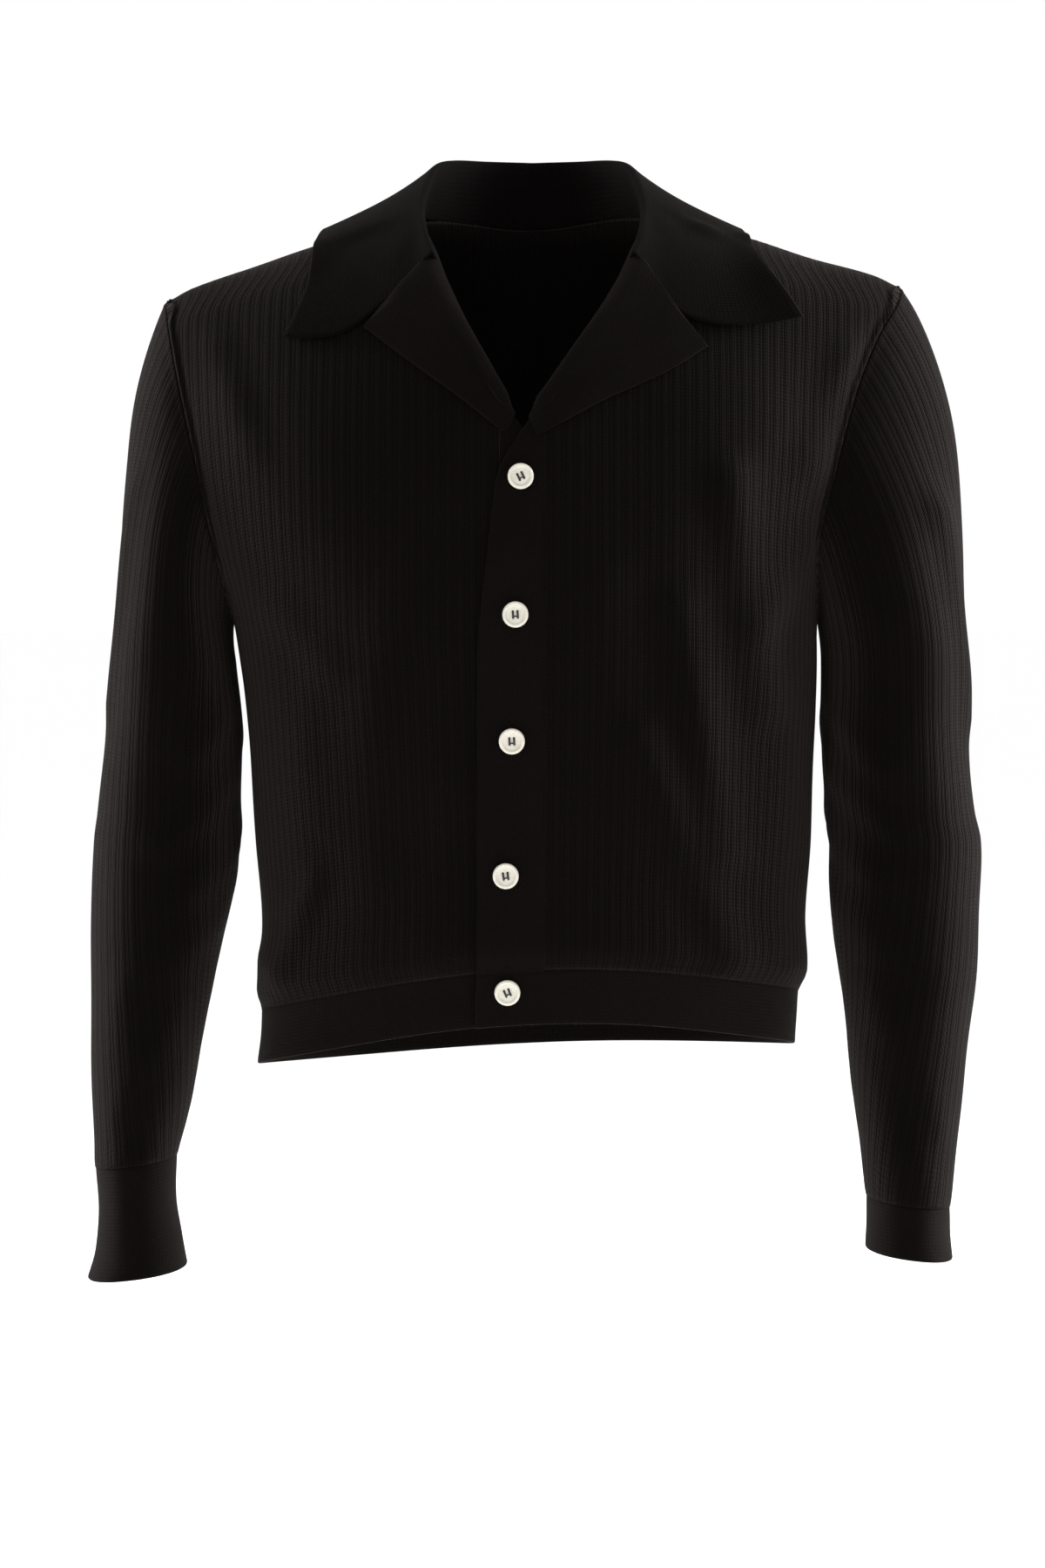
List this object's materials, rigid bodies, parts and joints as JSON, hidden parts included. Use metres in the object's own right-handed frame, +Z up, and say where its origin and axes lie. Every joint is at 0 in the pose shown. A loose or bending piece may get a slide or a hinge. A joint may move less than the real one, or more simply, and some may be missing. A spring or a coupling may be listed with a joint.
{
  "type": "cropped knitted cardigan",
  "caption": "Cropped fine-rib knitted cardigan in its worn form, with camp collar, notched lapels, buttoned front, long sleeves, plain waistband and cuffs",
  "frame": {"origin": "middle of the neck at the height of the shoulder seams, where the wearer's shoulders hold the garment up", "axes": "+X to the wearer's left, the front faces -Y, +Z up"},
  "size_m": [0.5324, 0.2481, 0.6633],
  "materials": {
    "rib_knit": "matt black fine-rib knit with a soft nap",
    "plain_knit": "matt black smooth plain knit with a soft nap",
    "button": "off-white pearly resin, polished"
  },
  "bodies": {
    "root": {"back": "rib_knit", "front_left": "rib_knit", "front_right": "rib_knit", "sleeve_left": "rib_knit", "sleeve_right": "rib_knit", "collar": "plain_knit", "lapel_left": "plain_knit", "lapel_right": "plain_knit", "band_left": "plain_knit", "band_right": "plain_knit", "waistband": "plain_knit", "cuff_left": "plain_knit", "cuff_right": "plain_knit", "button_1": "button", "button_2": "button", "button_3": "button", "button_4": "button", "button_5": "button"}
  },
  "joints": []
}
